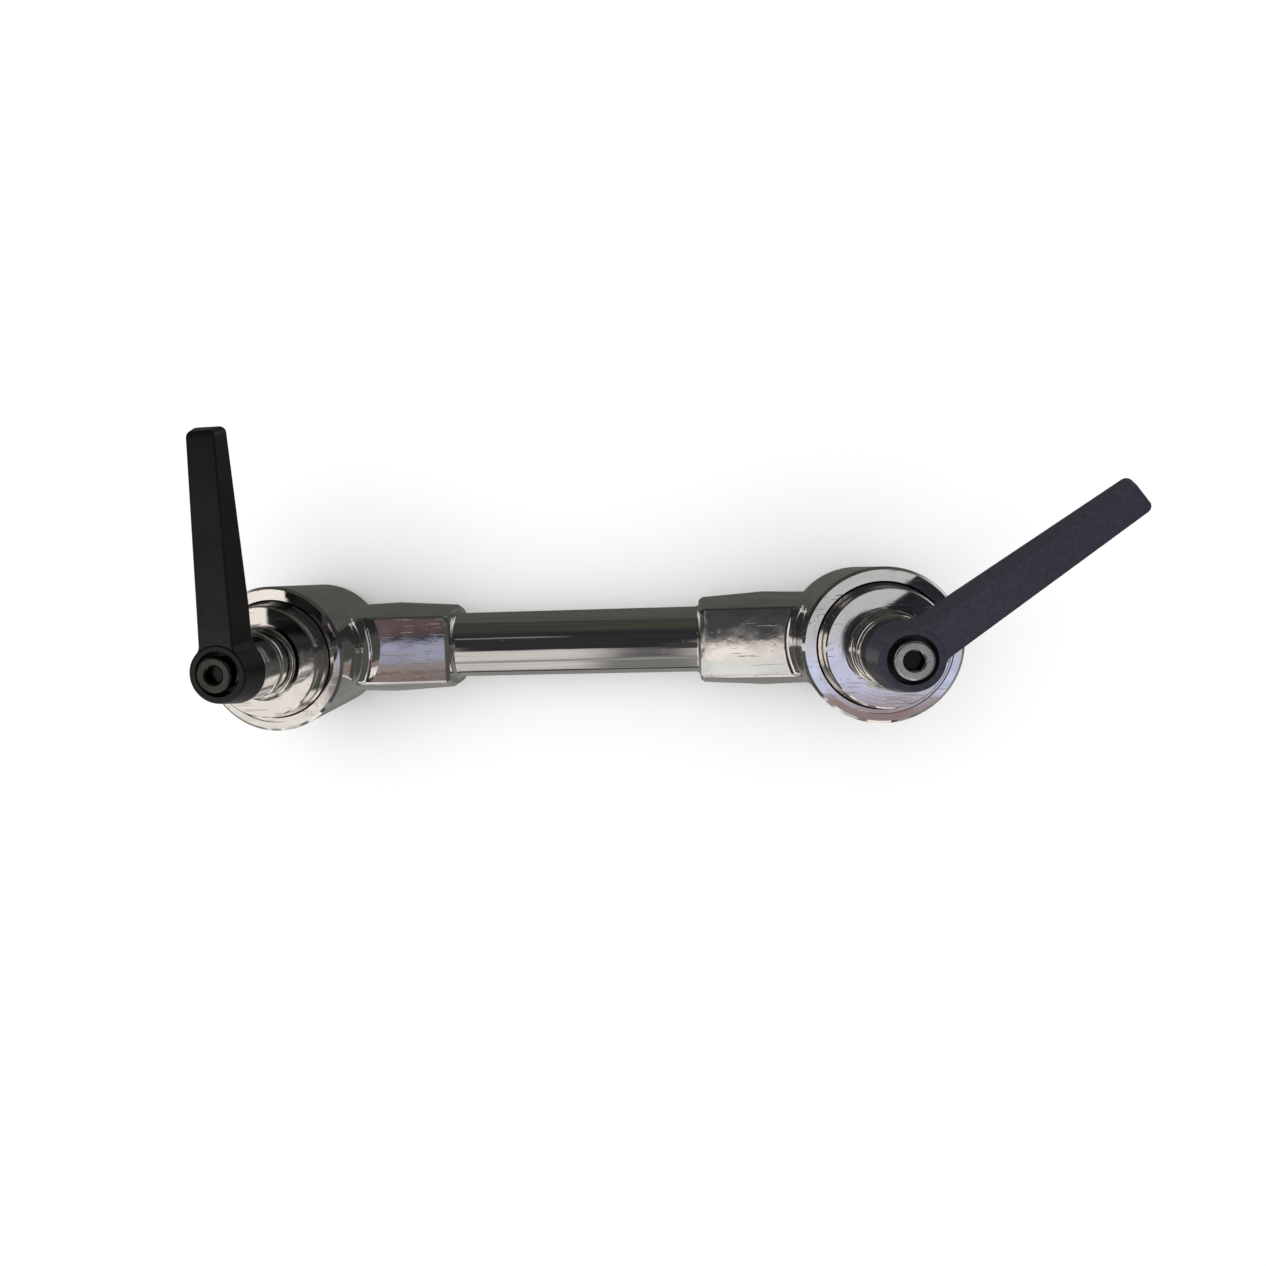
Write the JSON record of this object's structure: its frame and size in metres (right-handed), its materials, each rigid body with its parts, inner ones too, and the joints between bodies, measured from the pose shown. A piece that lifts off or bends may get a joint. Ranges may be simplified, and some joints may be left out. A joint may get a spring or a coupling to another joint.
{
  "type": "clamping link bar",
  "caption": "Chrome tube link with a swivelling clamp head at each end, each locked by a black adjustable clamping lever.",
  "frame": {"origin": "centre of the left swivel plate's rear face, on the left head's axis", "axes": "+X along the tube to the right head, +Z along the head axes towards the levers, +Y completes the right-handed frame"},
  "size_m": [0.3065, 0.1049, 0.0983],
  "materials": {
    "tube_chrome": "mirror chrome on drawn tube, fine scratches",
    "chrome_casting": "bright chrome on a casting, small pits and scratches",
    "turned_chrome": "turned and chromed, bright",
    "polished_steel": "polished turned steel",
    "black_coat": "matt black fine-texture coating",
    "screw_steel": "bright turned screw head",
    "plate_steel": "turned and ground steel",
    "zinc_steel": "zinc plated",
    "spring_steel": "oiled spring steel",
    "bearing_bronze": "plain bearing bronze",
    "friction_fibre": "dark moulded fibre"
  },
  "bodies": {
    "link": {"link_tube": "tube_chrome", "left_head_casting": "chrome_casting", "left_tube_pins": "spring_steel", "left_front_liner": "turned_chrome", "left_rear_friction_ring": "friction_fibre", "left_front_friction_ring": "friction_fibre", "right_head_casting": "chrome_casting", "right_tube_pins": "spring_steel", "right_front_liner": "turned_chrome", "right_rear_friction_ring": "friction_fibre", "right_front_friction_ring": "friction_fibre"},
    "left_swivel": {"left_swivel_plate": "plate_steel", "left_guide_pins": "spring_steel", "left_captive_nut": "zinc_steel", "left_nut_clip": "spring_steel", "left_release_spring": "spring_steel"},
    "left_clamp": {"left_clamp_disc": "turned_chrome", "left_flange_bush": "turned_chrome", "left_bush_liner": "bearing_bronze", "left_thrust_collar": "turned_chrome"},
    "left_spindle": {"left_spindle": "zinc_steel", "left_spindle_clip": "spring_steel", "left_lever_insert": "polished_steel", "left_lever_screw": "screw_steel", "left_lever_spring": "spring_steel"},
    "left_lever": {"left_lever_handle": "black_coat"},
    "right_swivel": {"right_swivel_plate": "plate_steel", "right_guide_pins": "spring_steel", "right_captive_nut": "zinc_steel", "right_nut_clip": "spring_steel", "right_release_spring": "spring_steel"},
    "right_clamp": {"right_clamp_disc": "turned_chrome", "right_flange_bush": "turned_chrome", "right_bush_liner": "bearing_bronze", "right_thrust_collar": "turned_chrome"},
    "right_spindle": {"right_spindle": "zinc_steel", "right_spindle_clip": "spring_steel", "right_lever_insert": "polished_steel", "right_lever_screw": "screw_steel", "right_lever_spring": "spring_steel"},
    "right_lever": {"right_lever_handle": "black_coat"}
  },
  "joints": [
    {"name": "left_swivel_turn", "type": "hinge", "parent": "link", "child": "left_swivel", "pos_m": [0, 0, 0], "axis": [0, 0, 1], "continuous": true},
    {"name": "left_clamp_lift", "type": "slide", "parent": "left_swivel", "child": "left_clamp", "axis": [0, 0, 1], "range_m": [0, 0.00112], "deforming": ["left_release_spring"]},
    {"name": "left_lever_turn", "type": "hinge", "parent": "left_clamp", "child": "left_spindle", "pos_m": [0, 0, 0], "axis": [0, 0, 1], "range_deg": [0, 270]},
    {"name": "left_lever_lift", "type": "slide", "parent": "left_spindle", "child": "left_lever", "axis": [0, 0, 1], "range_m": [0, 0.003], "stiffness_N_per_m": 600, "springref_m": -0.004, "deforming": ["left_lever_spring"]},
    {"name": "right_swivel_turn", "type": "hinge", "parent": "link", "child": "right_swivel", "pos_m": [0.214, 0, 0], "axis": [0, 0, 1], "continuous": true},
    {"name": "right_clamp_lift", "type": "slide", "parent": "right_swivel", "child": "right_clamp", "axis": [0, 0, 1], "range_m": [0, 0.00112], "deforming": ["right_release_spring"]},
    {"name": "right_lever_turn", "type": "hinge", "parent": "right_clamp", "child": "right_spindle", "pos_m": [0.214, 0, 0], "axis": [0, 0, 1], "range_deg": [0, 270]},
    {"name": "right_lever_lift", "type": "slide", "parent": "right_spindle", "child": "right_lever", "axis": [0, 0, 1], "range_m": [0, 0.003], "stiffness_N_per_m": 600, "springref_m": -0.004, "deforming": ["right_lever_spring"]}
  ],
  "couplings": [
    {"joint": "left_lever_turn", "follows": "left_clamp_lift", "rad_per_m": 4188.8},
    {"joint": "right_lever_turn", "follows": "right_clamp_lift", "rad_per_m": 4188.8}
  ]
}
